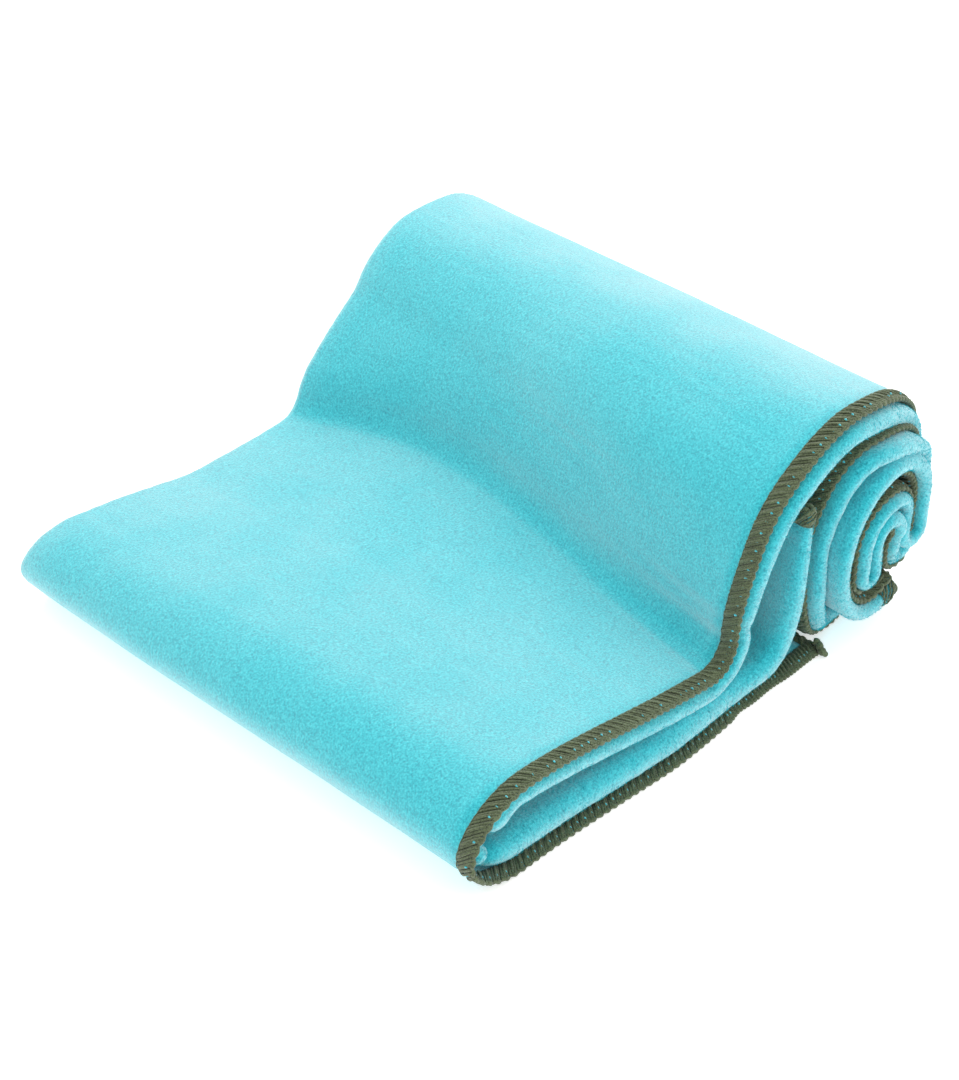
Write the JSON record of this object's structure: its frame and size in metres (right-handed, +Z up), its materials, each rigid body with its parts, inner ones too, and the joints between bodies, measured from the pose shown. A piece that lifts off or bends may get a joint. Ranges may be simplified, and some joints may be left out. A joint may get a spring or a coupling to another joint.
{
  "type": "quick dry towel",
  "caption": "Microfibre travel towel folded lengthwise in three, turned over and loosely rolled, with a contrasting overlocked edge.",
  "frame": {"origin": "middle of the bundle's bounding box, on the surface it lies on", "axes": "+X from the front turn towards the roll, +Y across the folded strip and away from its hemmed edge, +Z up"},
  "size_m": [0.22, 0.2206, 0.0888],
  "materials": {
    "microfibre_cloth": "brushed suede microfibre, matt with a soft nap",
    "overlock_thread": "dense olive polyester overlock stitches, low sheen"
  },
  "bodies": {
    "root": {"towel_cloth": "microfibre_cloth", "near_long_edge_upper_looper_thread": "overlock_thread", "near_long_edge_lower_looper_thread": "overlock_thread", "near_long_edge_needle_thread": "overlock_thread", "far_long_edge_upper_looper_thread": "overlock_thread", "far_long_edge_lower_looper_thread": "overlock_thread", "far_long_edge_needle_thread": "overlock_thread", "outer_short_edge_upper_looper_thread": "overlock_thread", "outer_short_edge_lower_looper_thread": "overlock_thread", "outer_short_edge_needle_thread": "overlock_thread", "inner_short_edge_upper_looper_thread": "overlock_thread", "inner_short_edge_lower_looper_thread": "overlock_thread", "inner_short_edge_needle_thread": "overlock_thread", "corner_thread_tail": "overlock_thread"}
  },
  "joints": []
}
